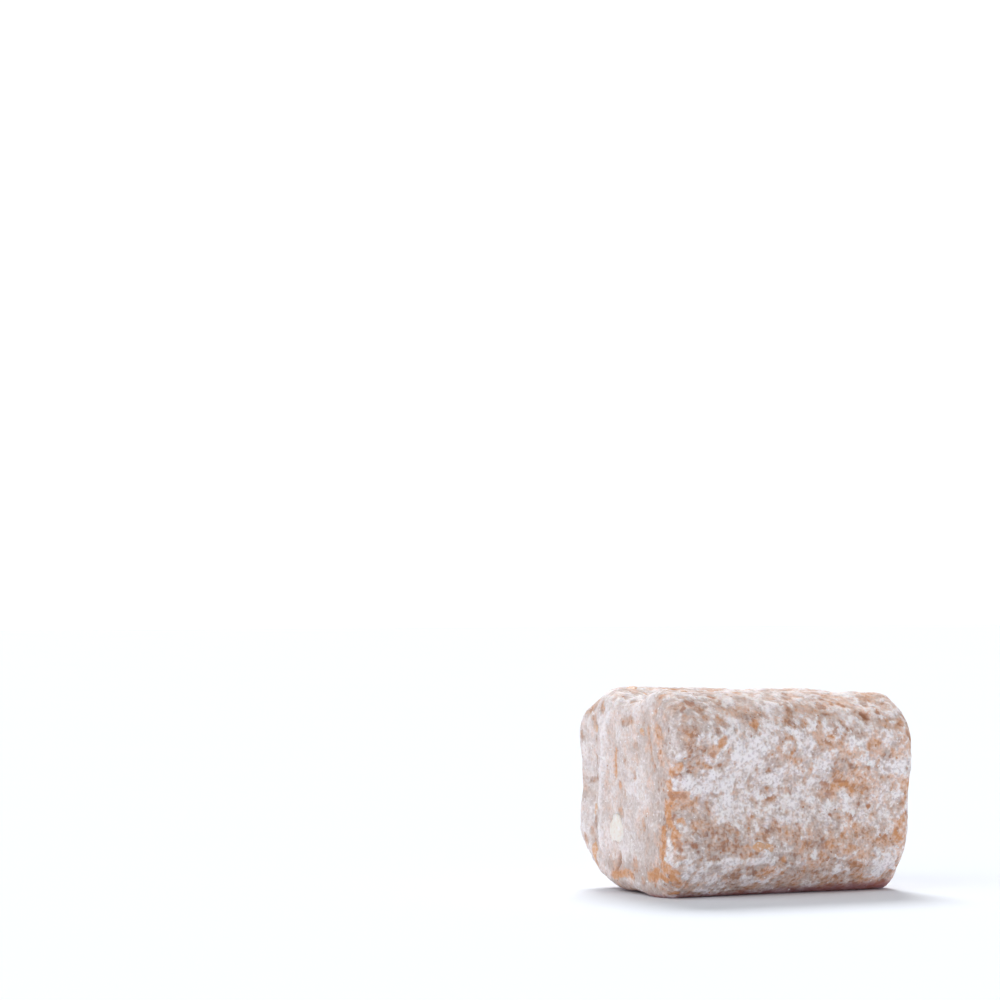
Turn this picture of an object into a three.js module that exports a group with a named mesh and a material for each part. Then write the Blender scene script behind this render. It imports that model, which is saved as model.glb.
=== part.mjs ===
// A whole chocolate truffle: one solid bar of nut mass with a four-lobed section, cut off square at
// both ends by a wire. It lies on two of its lobes. Millimetres, X along the bar, Y to the back, Z up.

import * as THREE from 'three';
import { mergeVertices } from 'three/addons/utils/BufferGeometryUtils.js';

// ---- driving dimensions -------------------------------------------------------------------------

const LENGTH = 28.6;
const LEFT_WIDTH = 22.0;
const RIGHT_WIDTH = 21.7;
const LEFT_HEIGHT = 21.6;
const RIGHT_HEIGHT = 21.1;

// radius of each of the four lobes
const LOBE = { frontLow: 6.5, frontHigh: 6.0, backLow: 7.0, backHigh: 4.8 };

// depth of the groove between two lobes, and the half angle over which it runs out
const GROOVE = { frontLeft: 1.8, frontRight: 0.4, back: 0.4, top: 1.4, under: 0.6 };
const GROOVE_HALF_ANGLE = THREE.MathUtils.degToRad(34);

const END_EDGE_RADIUS = 1.6;
const RIGHT_END_LEAN = 0.03;
// how far the bar's own weight has flattened the two lobes it lies on
const PRESSED_FLAT = 0.45;

// corners that have been rubbed off flat: the way the flat looks, how far it lies from the middle
// of the bar, and how softly it blends in
const WORN_CORNERS = [
  { towards: [-0.55, 0.31, 0.77], at: 16.95 },
  { towards: [-0.70, 0.48, -0.53], at: 17.35 },
  { towards: [-0.50, 0.26, -0.82], at: 15.7 },
  { towards: [0.66, -0.38, 0.65], at: 18.1 },
  { towards: [0.83, -0.48, -0.28], at: 17.55 },
  { towards: [0.70, 0.50, 0.52], at: 17.5 },
  { towards: [0.62, 0.48, -0.62], at: 17.6 },
];
const WORN_BLEND = 0.35;

// relief of the rough surface: height, and how long one bump is along X, Y and Z
const SWELL = { height: 0.12, size: [8, 7, 6.5] };
const LUMPS = { height: 0.09, size: [3.2, 2.6, 2.6] };
const SIDE_STREAKS = { height: 0.10, size: [9, 1.5, 1.3] };
const END_STREAKS = { height: 0.12, size: [3, 1.4, 10] };
const CRAGS = { height: 0.35, size: [3.6, 2.2, 2.0], from: 0.35 };

// single marks that the wire and handling have left, each with its place, half sizes and height
const MARKS = [
  { name: 'lip at the front left corner', at: [-14.0, -9.3, 3.8], reach: [1.6, 2.4, 2.2], height: 0.40 },
  { name: 'rubbed edge over the lip', at: [-14.2, -9.2, 9.6], reach: [1.2, 1.5, 4.6], height: -0.25 },
  { name: 'ridge down the left end', at: [-14.3, 4.9, 12.0], reach: [1.2, 0.9, 8.5], height: 0.22 },
  { name: 'ridge where it bends over the top', at: [-13.8, 2.8, 19.2], reach: [1.5, 1.2, 1.5], height: 0.20 },
  { name: 'strip set back behind the ridge', at: [-14.3, 7.6, 10.8], reach: [1.6, 2.9, 10], height: -0.28 },
  { name: 'crack low on the left end', at: [-14.3, 1.4, 3.2], reach: [1.4, 0.8, 1.7], height: -0.35 },
  { name: 'nut in the left end', at: [-14.3, 2.3, 6.5], reach: [1.3, 1.7, 1.5], height: 0.14 },
  { name: 'dent beside the front left edge', at: [-13.0, -9.8, 10.6], reach: [2.0, 1.6, 1.0], height: -0.25 },
  { name: 'pit high on the front', at: [8.7, -9.8, 18.3], reach: [1.0, 1.2, 1.1], height: -0.40 },
  { name: 'long hollow on the front', at: [-9.5, -10.7, 15.5], reach: [1.4, 1.2, 1.6], height: -0.22 },
  { name: 'rubbed hollow on the front', at: [4.8, -10.9, 11.3], reach: [2.4, 1.2, 1.3], height: -0.20 },
  { name: 'nut under the skin', at: [-4.5, -10.7, 5.2], reach: [2.2, 1.4, 1.1], height: 0.22 },
  { name: 'dent on the back', at: [4.5, 10.8, 12.5], reach: [3.0, 1.6, 2.4], height: -0.30 },
  { name: 'dent on the right end', at: [14.2, 3.0, 7.5], reach: [1.6, 2.6, 2.0], height: -0.28 },
];

// squares along X, Y and Z of the net that covers the bar, and how far they crowd at its edges
const NET = [40, 28, 26];
const NET_CROWDING = 0.42;

// ---- the smooth bar -----------------------------------------------------------------------------

const HALF_LENGTH = LENGTH / 2;
const { lerp } = THREE.MathUtils;

const crowd = (t) => t + (NET_CROWDING * Math.sin(Math.PI * t)) / Math.PI;

// how deep a groove is at an angle from its middle, as a share of its depth
function grooveShare(angle, middle) {
  const turn = Math.atan2(Math.sin(angle - middle), Math.cos(angle - middle)) / GROOVE_HALF_ANGLE;
  return Math.abs(turn) < 1 ? Math.cos((Math.PI * turn) / 2) ** 2 : 0;
}

function lobeRadius(front, low) {
  if (low) return front ? LOBE.frontLow : LOBE.backLow;
  return front ? LOBE.frontHigh : LOBE.backHigh;
}

// distance from the bar's middle line to the skin, in one direction of the section
function skinDistance(angle, halfWidth, halfHeight, along) {
  const c = Math.abs(Math.cos(angle));
  const s = Math.abs(Math.sin(angle));
  const radius = lobeRadius(Math.cos(angle) < 0, Math.sin(angle) < 0);
  const lobeY = halfWidth - radius;
  const lobeZ = halfHeight - radius;
  let distance;
  if (s * halfWidth < c * lobeZ) distance = halfWidth / c;
  else if (c * halfHeight < s * lobeY) distance = halfHeight / s;
  else {
    const dot = c * lobeY + s * lobeZ;
    distance = dot + Math.sqrt(dot ** 2 - lobeY ** 2 - lobeZ ** 2 + radius ** 2);
  }
  return distance
    - lerp(GROOVE.frontLeft, GROOVE.frontRight, along) * grooveShare(angle, Math.PI)
    - GROOVE.back * grooveShare(angle, 0)
    - GROOVE.top * grooveShare(angle, Math.PI / 2)
    - GROOVE.under * grooveShare(angle, -Math.PI / 2);
}

// pushes a point back to the rounded edge where the skin meets an end
function roundEnd(along, out, skin) {
  const coreAlong = Math.min(along, HALF_LENGTH - END_EDGE_RADIUS);
  const coreOut = Math.min(out, skin - END_EDGE_RADIUS);
  const gap = Math.hypot(along - coreAlong, out - coreOut);
  if (gap === 0) return [along, out];
  const share = END_EDGE_RADIUS / gap;
  return [coreAlong + (along - coreAlong) * share, coreOut + (out - coreOut) * share];
}

// rubs a corner off along a plane, without a crease
function rubCorner(point, { towards, at }) {
  const way = new THREE.Vector3(...towards).normalize();
  const past = (point.dot(way) - at) / WORN_BLEND;
  point.addScaledVector(way, -WORN_BLEND * Math.log1p(Math.exp(past)));
}

// a point of the net, from -1 to 1 each way, taken to the skin of the smooth bar
function barPoint(net) {
  const [x, y, z] = net.toArray().map(crowd);
  const along = (x + 1) / 2;
  const halfWidth = lerp(LEFT_WIDTH, RIGHT_WIDTH, along) / 2;
  const halfHeight = lerp(LEFT_HEIGHT, RIGHT_HEIGHT, along) / 2;
  const angle = Math.atan2(z, y);
  const skin = skinDistance(angle, halfWidth, halfHeight, along);
  const inwards = Math.max(Math.abs(y), Math.abs(z));
  const [axial, out] = roundEnd(Math.abs(x) * HALF_LENGTH, inwards * skin, skin);
  const point = new THREE.Vector3(Math.sign(x) * axial, out * Math.cos(angle), out * Math.sin(angle));
  if (x > 0) point.x += RIGHT_END_LEAN * x ** 2 * point.z;
  WORN_CORNERS.forEach((corner) => rubCorner(point, corner));
  point.z += lerp(LEFT_HEIGHT, RIGHT_HEIGHT, point.x / LENGTH + 0.5) / 2;
  return point;
}

// ---- the relief ---------------------------------------------------------------------------------

const fraction = (t) => t - Math.floor(t);

// the same number from 0 to 1 each time for one corner of a grid
const cornerValue = (i, j, k) => fraction(Math.sin(i * 127.1 + j * 311.7 + k * 74.7) * 43758.5453);

const ease = (t) => t * t * (3 - 2 * t);

// smooth random relief from -1 to 1, with bumps of the size given
function bumps(point, size) {
  const place = point.toArray().map((value, axis) => value / size[axis]);
  const cell = place.map(Math.floor);
  const share = place.map((value, axis) => ease(value - cell[axis]));
  let total = 0;
  for (let corner = 0; corner < 8; corner += 1) {
    const step = [corner & 1, (corner >> 1) & 1, corner >> 2];
    const weight = step.reduce((w, on, axis) => w * (on ? share[axis] : 1 - share[axis]), 1);
    total += weight * cornerValue(cell[0] + step[0], cell[1] + step[1], cell[2] + step[2]);
  }
  return total * 2 - 1;
}

// a round-topped rise or hollow that fades out at its reach
function markHeight(point, { at, reach, height }) {
  const away = Math.hypot(...point.toArray().map((value, axis) => (value - at[axis]) / reach[axis]));
  return away < 1 ? height * Math.cos((Math.PI * away) / 2) ** 2 : 0;
}

// how far the rough skin stands out of the smooth bar
function reliefHeight(point, normal) {
  const onEnd = normal.x ** 2;
  const crag = Math.max(0, bumps(point, CRAGS.size) - CRAGS.from);
  return SWELL.height * bumps(point, SWELL.size)
    + LUMPS.height * bumps(point, LUMPS.size)
    + (1 - onEnd) * SIDE_STREAKS.height * bumps(point, SIDE_STREAKS.size)
    + onEnd * END_STREAKS.height * bumps(point, END_STREAKS.size)
    - CRAGS.height * crag
    + MARKS.reduce((sum, mark) => sum + markHeight(point, mark), 0);
}

// ---- the solid ----------------------------------------------------------------------------------

function changePoints(geometry, change) {
  const places = geometry.attributes.position;
  const point = new THREE.Vector3();
  for (let index = 0; index < places.count; index += 1) {
    places.setXYZ(index, ...change(point.fromBufferAttribute(places, index), index).toArray());
  }
  places.needsUpdate = true;
}

function truffleGeometry() {
  const box = new THREE.BoxGeometry(2, 2, 2, ...NET);
  box.deleteAttribute('normal');
  box.deleteAttribute('uv');
  const geometry = mergeVertices(box);
  changePoints(geometry, barPoint);
  geometry.computeVertexNormals();
  const normals = geometry.attributes.normal.clone();
  const normal = new THREE.Vector3();
  changePoints(geometry, (point, index) => {
    normal.fromBufferAttribute(normals, index);
    point.addScaledVector(normal, reliefHeight(point, normal));
    point.z = Math.max(point.z - PRESSED_FLAT, 0);
    return point;
  });
  return centreOnFloor(geometry);
}

// sets the origin under the middle of the bar, on the surface that it lies on
function centreOnFloor(geometry) {
  geometry.computeBoundingBox();
  const middle = geometry.boundingBox.getCenter(new THREE.Vector3());
  geometry.translate(-middle.x, -middle.y, 0);
  geometry.computeVertexNormals();
  return geometry;
}

const sugaredNutMass = new THREE.MeshStandardMaterial({ color: 0xc9b5ae, roughness: 0.85, metalness: 0 });

const truffle = new THREE.Mesh(truffleGeometry(), sugaredNutMass);
truffle.name = 'truffle';

const object = new THREE.Group();
object.add(truffle);

export default object;
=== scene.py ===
"""Sugar-dusted nut truffle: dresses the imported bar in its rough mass, sugar, nut bits and studio light.

Sizes and places on the truffle are in millimetres, and those of the stage in metres, as Blender's are.
The bar lies along X, its front side looks along -Y and its left end along -X.
"""

import math

import bmesh
import bpy
import numpy as np
from bpy.props import FloatProperty, FloatVectorProperty, IntProperty, PointerProperty
from mathutils import Matrix, Vector, noise
from mathutils.bvhtree import BVHTree


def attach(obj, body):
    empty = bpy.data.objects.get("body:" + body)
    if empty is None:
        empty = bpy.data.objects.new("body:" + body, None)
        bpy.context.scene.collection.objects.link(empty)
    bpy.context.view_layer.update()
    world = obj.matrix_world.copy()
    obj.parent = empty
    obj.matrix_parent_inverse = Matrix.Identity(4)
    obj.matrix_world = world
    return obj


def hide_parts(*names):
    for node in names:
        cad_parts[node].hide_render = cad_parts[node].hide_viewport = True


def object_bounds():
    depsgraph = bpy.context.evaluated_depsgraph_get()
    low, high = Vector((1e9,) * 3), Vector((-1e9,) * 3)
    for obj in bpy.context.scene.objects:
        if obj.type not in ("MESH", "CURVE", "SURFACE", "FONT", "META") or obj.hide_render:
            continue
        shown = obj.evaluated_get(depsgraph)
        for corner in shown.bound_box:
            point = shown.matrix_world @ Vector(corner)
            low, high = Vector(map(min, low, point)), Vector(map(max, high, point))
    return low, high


bl_info = {
    "name": "Sugar-dusted nut truffle",
    "version": (1, 0, 0),
    "blender": (4, 5, 0),
    "location": "3D View > Sidebar > Truffle",
    "description": "Makes the rough nut mass, its sugar and nut bits, and the stage round a packed truffle",
    "category": "Mesh",
}

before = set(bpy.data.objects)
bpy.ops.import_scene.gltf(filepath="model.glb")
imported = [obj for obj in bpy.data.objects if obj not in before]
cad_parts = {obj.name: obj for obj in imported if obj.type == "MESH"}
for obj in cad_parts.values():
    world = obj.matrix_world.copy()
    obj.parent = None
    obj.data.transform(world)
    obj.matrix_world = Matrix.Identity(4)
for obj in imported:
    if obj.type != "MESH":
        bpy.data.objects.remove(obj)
CAD_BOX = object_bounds()

NODE = "truffle"
BODY = "root"
SKIN_PIECE = "nut_mass"
MM = 0.001

# ---- the sides and their marks ------------------------------------------------------------------

RIGHT = Vector((1, 0, 0))
BACK = Vector((0, 1, 0))
UP = Vector((0, 0, 1))
SLANT = math.sqrt(0.5)

# each side of the bar: the way it looks out, and the two ways in which places on it are measured
SIDES = {
    "front": {"out": -BACK, "along": RIGHT, "up": UP},
    "back": {"out": BACK, "along": RIGHT, "up": UP},
    "left": {"out": -RIGHT, "along": BACK, "up": UP},
    "right": {"out": RIGHT, "along": BACK, "up": UP},
    "top": {"out": UP, "along": RIGHT, "up": BACK},
    "under": {"out": -UP, "along": RIGHT, "up": BACK},
    "corner": {"out": SLANT * (-RIGHT - BACK), "along": SLANT * (RIGHT - BACK), "up": UP},
}

# what each kind of mark turns the skin into: how much sugar lies there, how warm the mass under it
# is, how toasted, how hollow, and how far it stands out; the kinds are laid on in this order
MARK_KINDS = {
    "veiled": {"sugar": 0.72, "warm": 0.14},
    "worn": {"sugar": 0.46},
    "white": {"sugar": 0.86, "warm": 0.08},
    "bare": {"sugar": 0.18, "warm": 0.35},
    "brown": {"sugar": 0.02, "warm": 0.10},
    "orange": {"sugar": -0.18, "warm": 1.15},
    "rust": {"sugar": 0.25, "toast": 1.0},
    "thick": {"sugar": 1.0, "warm": 0.05},
    # the ridge's white is partly sugar and partly a painted highlight along its crest
    "ridge": {"sugar": 0.92, "raised": 1.0},
    "pit": {"sugar": 0.15, "hollow": 1.0},
}

# marks on the sides that the light falls on: the two places, (along, up), that each runs between,
# how far it spreads from that line, and the radius where it is a ring
FRONT_MARKS = {
    "veiled": [
        ((-9.4, 15.4), (-1.0, 16.4), 3.1), ((-7.6, 12.6), (0.0, 12.0), 2.3), ((-8.0, 9.3), (3.0, 9.0), 2.0),
        ((0.0, 16.6), (7.5, 17.0), 1.7), ((8.6, 13.2), (12.6, 13.0), 1.2), ((7.6, 8.6), (12.4, 8.2), 1.3),
        ((-13.6, 3.0), (-11.2, 2.6), 1.3), ((9.0, 2.9), (12.2, 3.0), 1.3),
    ],
    "worn": [
        ((-14.0, 19.0), (-9.4, 18.6), 2.2), ((-13.4, 16.4), (-12.6, 14.4), 1.2),
        ((-14.2, 8.9), (-11.0, 8.8), 1.4), ((3.0, 11.0), (7.2, 10.7), 1.9), ((4.6, 13.4), (8.4, 12.8), 1.0),
        ((-11.4, 5.6), (-7.4, 4.6), 2.0), ((-0.6, 5.2), (5.6, 4.8), 2.2), ((-1.4, 2.7), (3.4, 2.8), 1.8),
        # the long worn band along the foot, 0.7 up, is painted shade: darker low down
        ((5.4, 6.4), (8.2, 5.4), 1.3), ((2.6, 3.4), (9.6, 3.0), 1.5), ((-13.0, 0.7), (12.4, 0.7), 1.1),
        ((-5.5, 2.5), (-3.6, 2.3), 0.9), ((8.8, 5.6), (11.6, 5.4), 1.0),
    ],
    "white": [
        ((-8.3, 17.6), (-7.0, 16.0), 1.6), ((-7.5, 13.9), (-5.0, 13.8), 1.1),
        ((-11.6, 16.4), (-10.2, 15.8), 1.0), ((-14.0, 12.0), (-12.0, 11.3), 1.0),
        ((-13.5, 12.0), (-8.0, 13.0), 0.9), ((-11.0, 11.1), (-5.0, 11.5), 0.8),
        ((-9.0, 9.8), (-3.0, 10.5), 0.9), ((-0.5, 10.0), (1.2, 11.0), 1.0), ((-4.2, 8.5), (-2.4, 8.9), 0.9),
        ((0.6, 9.3), (1.2, 10.6), 0.8), ((-10.8, 3.8), (-7.2, 3.9), 0.5), ((-9.9, 1.9), (-9.5, 1.9), 0.7),
        ((4.3, 3.6), (6.4, 2.4), 0.9), ((9.4, 4.2), (9.6, 4.2), 0.6), ((11.3, 3.5), (11.8, 2.8), 0.7),
        ((10.4, 7.5), (10.8, 7.2), 0.6), ((9.3, 8.9), (9.5, 8.9), 0.6), ((-1.4, 8.6), (-0.6, 7.5), 0.9),
        ((11.4, 12.9), (11.7, 12.9), 0.9), ((3.0, 7.9), (4.8, 7.5), 0.8), ((-6.6, 9.4), (-5.6, 8.9), 0.5),
        ((0.8, 14.6), (1.6, 13.6), 0.8), ((-1.0, 17.0), (1.4, 17.2), 0.8),
        ((10.6, 16.6), (11.4, 15.8), 0.8),
    ],
    "bare": [
        ((-14.0, 9.6), (-10.3, 9.8), 0.7), ((-14.2, 4.3), (-13.4, 4.4), 0.4),
        ((-12.8, 18.6), (-12.2, 18.5), 0.6), ((-13.2, 17.0), (-12.7, 15.8), 0.7),
        ((-11.0, 15.2), (-10.3, 15.2), 0.5), ((-12.6, 13.5), (-11.8, 13.3), 0.4),
        ((-11.7, 13.9), (-10.5, 13.6), 0.4), ((-0.9, 14.1), (-0.3, 13.9), 0.5),
        ((-3.8, 10.8), (-2.6, 11.0), 0.5), ((-3.5, 9.6), (-1.8, 10.0), 0.5),
        ((-12.0, 7.5), (-7.5, 6.8), 0.9), ((8.2, 16.4), (6.2, 16.3), 0.4), ((2.0, 16.6), (2.6, 15.7), 0.6),
        ((8.4, 15.1), (10.0, 15.5), 0.4), ((7.5, 11.0), (8.5, 10.8), 0.6), ((8.0, 6.6), (8.7, 6.3), 0.6),
        ((9.5, 5.3), (11.4, 5.6), 0.6), ((4.4, 5.5), (6.2, 5.7), 0.5), ((2.6, 5.0), (3.9, 4.7), 0.6),
        ((1.5, 6.3), (2.5, 6.2), 0.5), ((0.5, 2.6), (2.0, 3.2), 0.9), ((2.6, 1.7), (6.0, 1.5), 0.7),
        ((7.2, 1.8), (8.4, 1.4), 0.5), ((6.8, 3.0), (7.6, 2.6), 0.6),
        ((-1.4, 15.3), (-1.4, 15.3), 0.4, 1.0), ((4.9, 14.3), (5.5, 14.5), 0.4),
        ((6.6, 14.4), (7.3, 14.2), 0.5), ((4.2, 17.0), (4.2, 17.0), 0.4, 1.6),
        ((12.3, 17.2), (12.6, 17.5), 0.7), ((-8.4, 19.4), (-6.8, 19.3), 0.7),
        ((0.6, 19.2), (2.0, 19.0), 0.6), ((-6.3, 5.2), (-2.8, 5.2), 0.4), ((10.2, 17.6), (11.2, 17.4), 0.6),
        ((12.9, 9.4), (13.2, 10.4), 0.5), ((0.2, 4.7), (4.0, 4.8), 1.3),
    ],
    "brown": [
        ((-11.0, 19.2), (-10.8, 18.6), 0.6), ((-13.0, 15.3), (-12.8, 15.0), 0.5),
        ((-6.0, 18.5), (-5.8, 18.5), 0.4), ((-3.8, 18.5), (-3.6, 18.5), 0.4),
        ((-0.7, 18.5), (-0.4, 18.9), 0.5), ((-1.1, 17.9), (-0.5, 17.6), 0.5),
        ((-2.3, 16.4), (-2.1, 15.9), 0.5), ((-3.6, 12.6), (-2.9, 12.6), 0.4),
        ((-4.3, 11.8), (-4.1, 11.5), 0.4), ((-5.4, 11.9), (-5.3, 11.4), 0.4),
        ((-1.8, 11.2), (-1.0, 10.9), 0.3), ((-10.5, 5.5), (-7.0, 5.0), 1.0),
        ((-10.8, 4.4), (-9.8, 4.3), 0.5), ((-3.4, 6.8), (-2.4, 6.7), 0.5), ((-4.1, 6.1), (-3.6, 6.2), 0.5),
        ((-0.8, 5.6), (0.0, 6.3), 0.6), ((-5.4, 2.4), (-3.9, 2.7), 0.3), ((-8.2, 2.3), (-6.8, 2.0), 0.5),
        ((10.6, 14.3), (10.9, 14.2), 0.6), ((2.4, 4.3), (2.7, 4.1), 0.4), ((3.8, 13.0), (5.8, 12.85), 0.3),
        ((6.5, 13.1), (8.6, 12.8), 0.25), ((-9.6, 17.2), (-9.3, 16.6), 0.4),
        ((9.2, 19.5), (9.6, 19.4), 0.4), ((0.8, 17.4), (1.0, 17.8), 0.4), ((1.8, 4.9), (2.9, 5.6), 0.6),
        ((-0.4, 3.0), (0.4, 2.6), 0.6),
    ],
    "orange": [
        ((-13.3, 7.9), (-13.1, 7.9), 0.4), ((-14.2, 6.7), (-14.0, 6.7), 0.5),
        ((-10.2, 14.6), (-9.9, 15.0), 0.5), ((-9.9, 15.0), (-8.9, 16.3), 0.4),
        ((-13.9, 13.4), (-13.6, 13.4), 0.5), ((-5.4, 17.6), (-4.9, 17.7), 0.5),
        ((3.8, 16.2), (4.0, 16.2), 0.4), ((6.1, 11.0), (6.5, 10.5), 0.5), ((12.2, 7.0), (13.0, 8.0), 0.5),
        ((11.8, 6.2), (12.2, 5.5), 0.5), ((-1.6, 3.8), (-1.5, 3.8), 0.4), ((5.2, 19.5), (5.4, 19.5), 0.3),
        ((4.4, 11.2), (5.6, 11.0), 0.5), ((3.4, 5.2), (3.9, 4.9), 0.4),
        ((-12.2, 10.6), (-13.8, 10.65), 0.4),
    ],
    "rust": [
        ((-13.9, 10.5), (-12.6, 10.5), 0.4), ((-13.2, 5.7), (-12.1, 5.3), 0.3),
        ((-13.7, 1.9), (-13.5, 1.9), 0.4), ((-12.0, 19.9), (-11.2, 19.8), 0.4),
        ((-10.2, 14.6), (-10.0, 14.8), 0.4), ((-8.9, 16.2), (-8.8, 16.3), 0.3),
        ((-7.3, 7.0), (-7.2, 7.0), 0.35), ((-7.4, 5.7), (-7.3, 5.7), 0.3), ((-5.7, 4.6), (-5.6, 4.6), 0.3),
        ((8.3, 18.6), (8.8, 18.0), 0.5), ((4.7, 17.1), (4.3, 16.6), 0.4), ((4.4, 13.6), (4.5, 13.6), 0.35),
        ((3.2, 11.7), (3.8, 11.0), 0.4), ((3.9, 10.4), (4.5, 10.3), 0.35), ((4.8, 11.8), (6.0, 11.5), 0.3),
        ((13.5, 16.4), (13.5, 16.5), 0.35), ((10.2, 18.6), (10.3, 18.6), 0.35),
        ((13.3, 12.6), (13.3, 12.7), 0.3), ((4.0, 8.3), (4.1, 8.3), 0.3), ((6.4, 8.1), (6.6, 7.7), 0.3),
        ((6.2, 19.5), (6.7, 19.3), 0.3), ((2.7, 5.0), (3.3, 4.9), 0.4), ((3.2, 19.2), (4.0, 19.3), 0.3),
    ],
    "thick": [
        ((-5.3, 15.2), (-3.4, 16.6), 1.4), ((-4.0, 12.0), (-2.0, 12.0), 0.7),
        ((-1.5, 10.0), (-0.2, 9.4), 1.0), ((2.5, 13.2), (3.4, 12.4), 0.9), ((6.0, 9.1), (6.0, 9.7), 0.6),
        ((3.5, 8.8), (4.0, 9.2), 0.5), ((6.4, 15.8), (7.4, 15.6), 0.7), ((-12.9, 3.6), (-12.8, 2.7), 0.8),
        ((-6.3, 3.7), (-3.0, 3.7), 0.6), ((1.8, 4.3), (2.2, 4.1), 0.6), ((9.2, 2.6), (9.8, 2.4), 1.0),
        ((-6.2, 2.1), (-4.8, 2.0), 0.3), ((-12.8, 11.8), (-11.8, 12.1), 0.6),
        ((-8.0, 11.6), (-7.2, 12.4), 0.6), ((-11.3, 11.0), (-10.8, 11.2), 0.35),
    ],
    "pit": [((8.6, 18.4), (8.8, 18.2), 0.5)],
}

LEFT_MARKS = {
    "veiled": [
        ((3.2, 17.4), (2.6, 12.4), 1.8), ((0.0, 16.4), (-1.0, 13.0), 1.5), ((3.0, 9.2), (2.6, 5.6), 1.8),
        ((-3.0, 12.0), (-3.4, 10.0), 1.6),
    ],
    "worn": [
        ((-4.4, 18.4), (-4.8, 15.4), 1.2), ((-7.3, 19.0), (-7.6, 12.6), 2.3), ((6.2, 6.8), (5.6, 4.4), 1.2),
        ((3.0, 2.8), (-6.0, 2.4), 1.2), ((-7.6, 8.4), (-7.2, 4.8), 1.1), ((8.4, 18.6), (7.0, 19.6), 1.0),
    ],
    "white": [
        ((5.2, 17.5), (4.8, 16.8), 0.9), ((-1.5, 19.5), (-2.5, 19.2), 0.8), ((3.2, 4.5), (2.6, 3.8), 0.6),
        ((-5.0, 7.3), (-6.2, 7.3), 0.4), ((2.0, 20.2), (-3.0, 19.6), 0.5), ((4.2, 15.8), (4.0, 13.0), 0.7),
    ],
    "bare": [
        ((5.0, 19.2), (4.6, 18.9), 0.6), ((7.0, 19.0), (9.0, 18.4), 0.4), ((6.8, 17.8), (6.6, 17.2), 0.7),
        ((9.5, 16.1), (9.4, 15.8), 0.5), ((0.4, 17.6), (-1.4, 18.0), 0.6),
        ((-0.3, 13.8), (-0.3, 13.5), 0.4), ((-1.9, 15.4), (-2.6, 15.3), 0.4),
        ((-2.0, 12.4), (-2.0, 12.1), 0.5), ((-5.1, 15.3), (-5.3, 14.2), 0.5),
        ((-5.8, 13.5), (-5.9, 13.2), 0.5), ((1.3, 8.6), (0.8, 8.0), 0.5), ((-3.5, 7.5), (-3.8, 7.0), 0.5),
        ((7.5, 6.1), (7.4, 5.8), 0.6), ((8.9, 5.4), (8.7, 5.1), 0.6), ((6.8, 3.1), (6.6, 2.9), 0.6),
        ((-1.8, 3.2), (-1.9, 3.0), 0.8), ((-3.5, 1.7), (-3.8, 1.6), 0.6), ((-6.5, 17.4), (-7.4, 16.4), 0.6),
        ((-4.6, 17.0), (-4.8, 16.0), 0.5), ((-7.0, 14.6), (-7.4, 13.6), 0.6),
    ],
    "brown": [
        ((6.4, 15.9), (6.4, 15.7), 0.35), ((6.7, 13.9), (6.7, 13.3), 0.35), ((6.8, 5.2), (6.7, 5.1), 0.5),
        ((6.6, 6.8), (6.6, 6.6), 0.4), ((8.0, 11.3), (6.8, 11.6), 0.4),
    ],
    "orange": [
        ((1.9, 14.8), (2.2, 12.2), 0.35), ((1.3, 11.3), (1.3, 11.0), 0.4),
        ((-3.4, 16.9), (-3.5, 16.7), 0.4), ((2.8, 1.7), (0.0, 2.1), 0.5), ((0.2, 2.3), (-1.0, 2.0), 0.5),
        ((-5.0, 2.1), (-6.6, 2.5), 0.7),
    ],
    "rust": [((6.6, 7.5), (6.6, 7.3), 0.35)],
    # the ridge's white is partly sugar and partly a painted highlight along its crest
    "ridge": [
        ((2.0, 19.9), (2.2, 19.4), 0.4), ((2.2, 19.4), (3.2, 18.4), 0.4), ((3.2, 18.4), (4.8, 16.8), 0.4),
        ((4.9, 17.0), (4.9, 10.0), 0.45), ((5.2, 9.6), (5.1, 4.5), 0.55),
    ],
    "pit": [((1.1, 4.0), (1.9, 2.2), 0.3)],
}

CORNER_MARKS = {
    "worn": [((-4.2, 19.0), (-4.0, 13.6), 1.0)],
    "orange": [
        ((-3.7, 12.8), (-3.0, 12.5), 0.4), ((-4.0, 11.8), (-3.7, 10.2), 0.4),
        ((-4.1, 9.9), (-4.1, 8.0), 0.5), ((-4.0, 7.9), (-2.8, 5.6), 0.6), ((-4.6, 7.2), (-4.7, 5.8), 0.4),
        ((-4.6, 5.1), (-4.2, 3.3), 0.8), ((-3.5, 3.4), (-2.9, 1.9), 0.8), ((-5.6, 2.6), (-4.2, 2.2), 0.5),
    ],
    "rust": [
        ((-3.4, 12.7), (-2.9, 12.4), 0.4), ((-3.0, 6.0), (-2.5, 5.2), 0.4),
        ((-3.9, 10.9), (-3.7, 10.2), 0.3),
    ],
    "thick": [
        ((-4.1, 5.9), (-3.6, 5.3), 0.4), ((-3.6, 5.0), (-3.0, 3.6), 0.45), ((-3.9, 4.2), (-3.6, 3.9), 0.3),
        ((-3.0, 12.2), (-2.4, 11.9), 0.5),
    ],
}

# marks drawn by chance on each of the other sides: how many of a kind, the longest, and the furthest
# that one spreads
CHANCE_MARKS = {
    "veiled": (9, 7.0, 2.2),
    "worn": (10, 5.0, 1.8),
    "white": (22, 3.0, 1.2),
    "bare": (30, 1.8, 0.7),
    "brown": (22, 1.2, 0.5),
    "orange": (12, 1.2, 0.5),
    "rust": (20, 0.8, 0.4),
    "thick": (14, 1.6, 0.9),
    "pit": (3, 0.5, 0.5),
}
# the other sides, each with the seed of its draws
CHANCE_SIDES = {"back": 5, "right": 6, "top": 8, "under": 9}

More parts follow.
